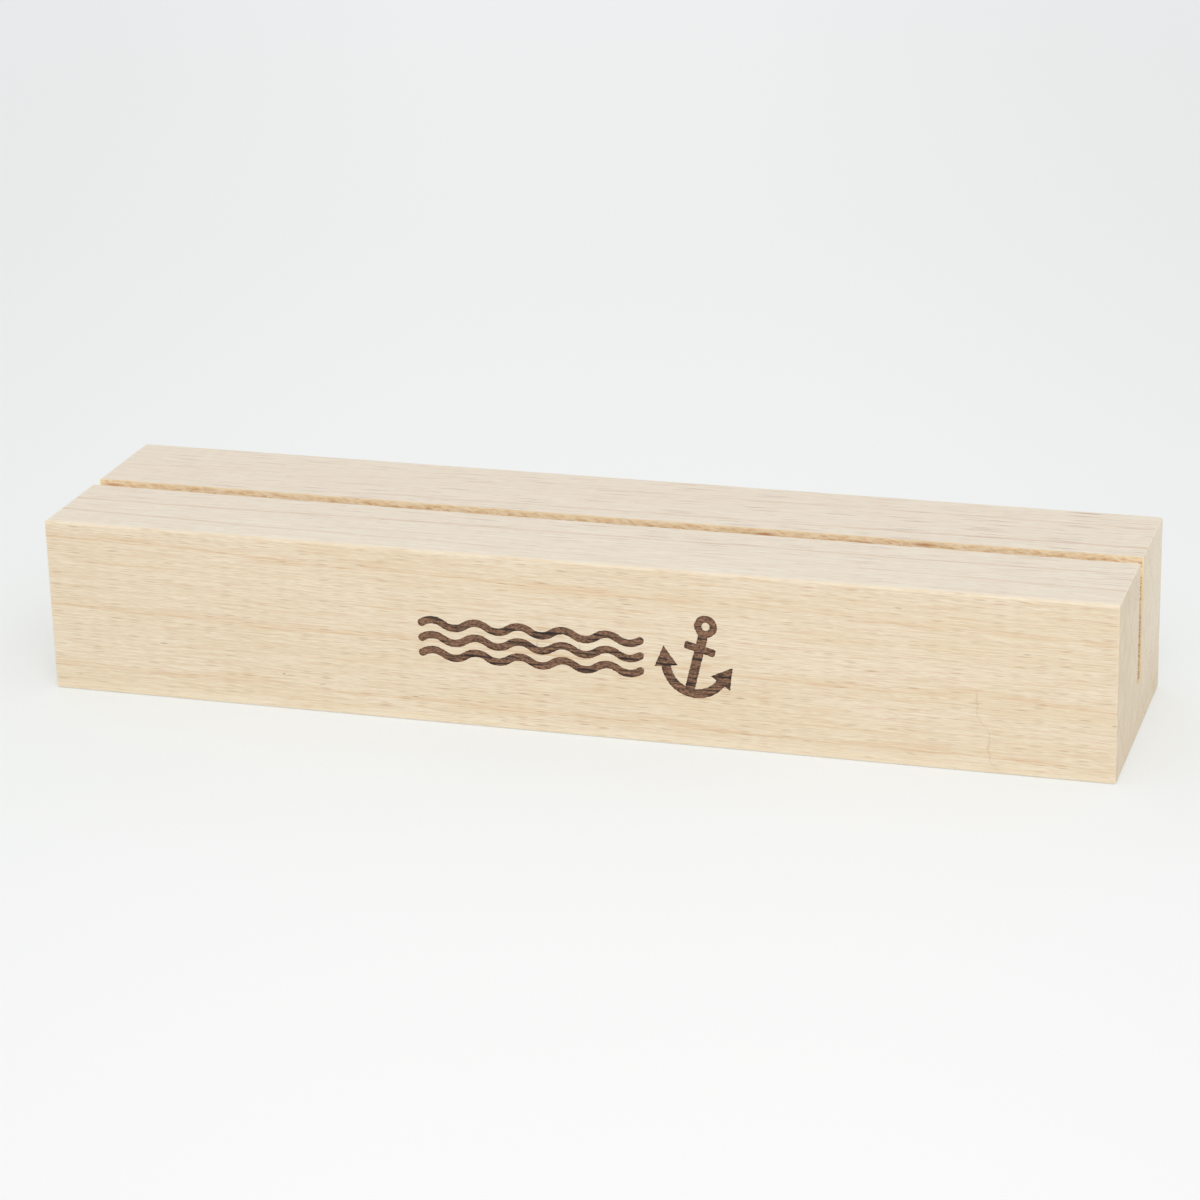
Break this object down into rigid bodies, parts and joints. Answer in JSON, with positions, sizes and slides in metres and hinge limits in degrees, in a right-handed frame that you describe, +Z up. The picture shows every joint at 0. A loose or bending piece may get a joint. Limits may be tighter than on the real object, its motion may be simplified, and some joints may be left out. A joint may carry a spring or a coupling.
{
  "type": "photo block holder",
  "caption": "Solid beech bar with a saw-cut slot along its top that stands a photo or card upright; wave lines and an anchor are burned into its front face.",
  "frame": {"origin": "middle of the underside, on the surface that the bar stands on", "axes": "+X along the bar, to the right as its front is looked at; +Y from the burned front face to the back; +Z up, out of the slot's mouth"},
  "size_m": [0.18, 0.043, 0.0298],
  "materials": {
    "beech": "fine sanded and bare, edges eased, with no lacquer",
    "charred_beech": "matt brown scorch on the floor of a shallow burned pocket"
  },
  "bodies": {
    "root": {"beech_block": "beech", "anchor_burn": "charred_beech", "wave_burn_upper": "charred_beech", "wave_burn_middle": "charred_beech", "wave_burn_lower": "charred_beech"}
  },
  "joints": []
}
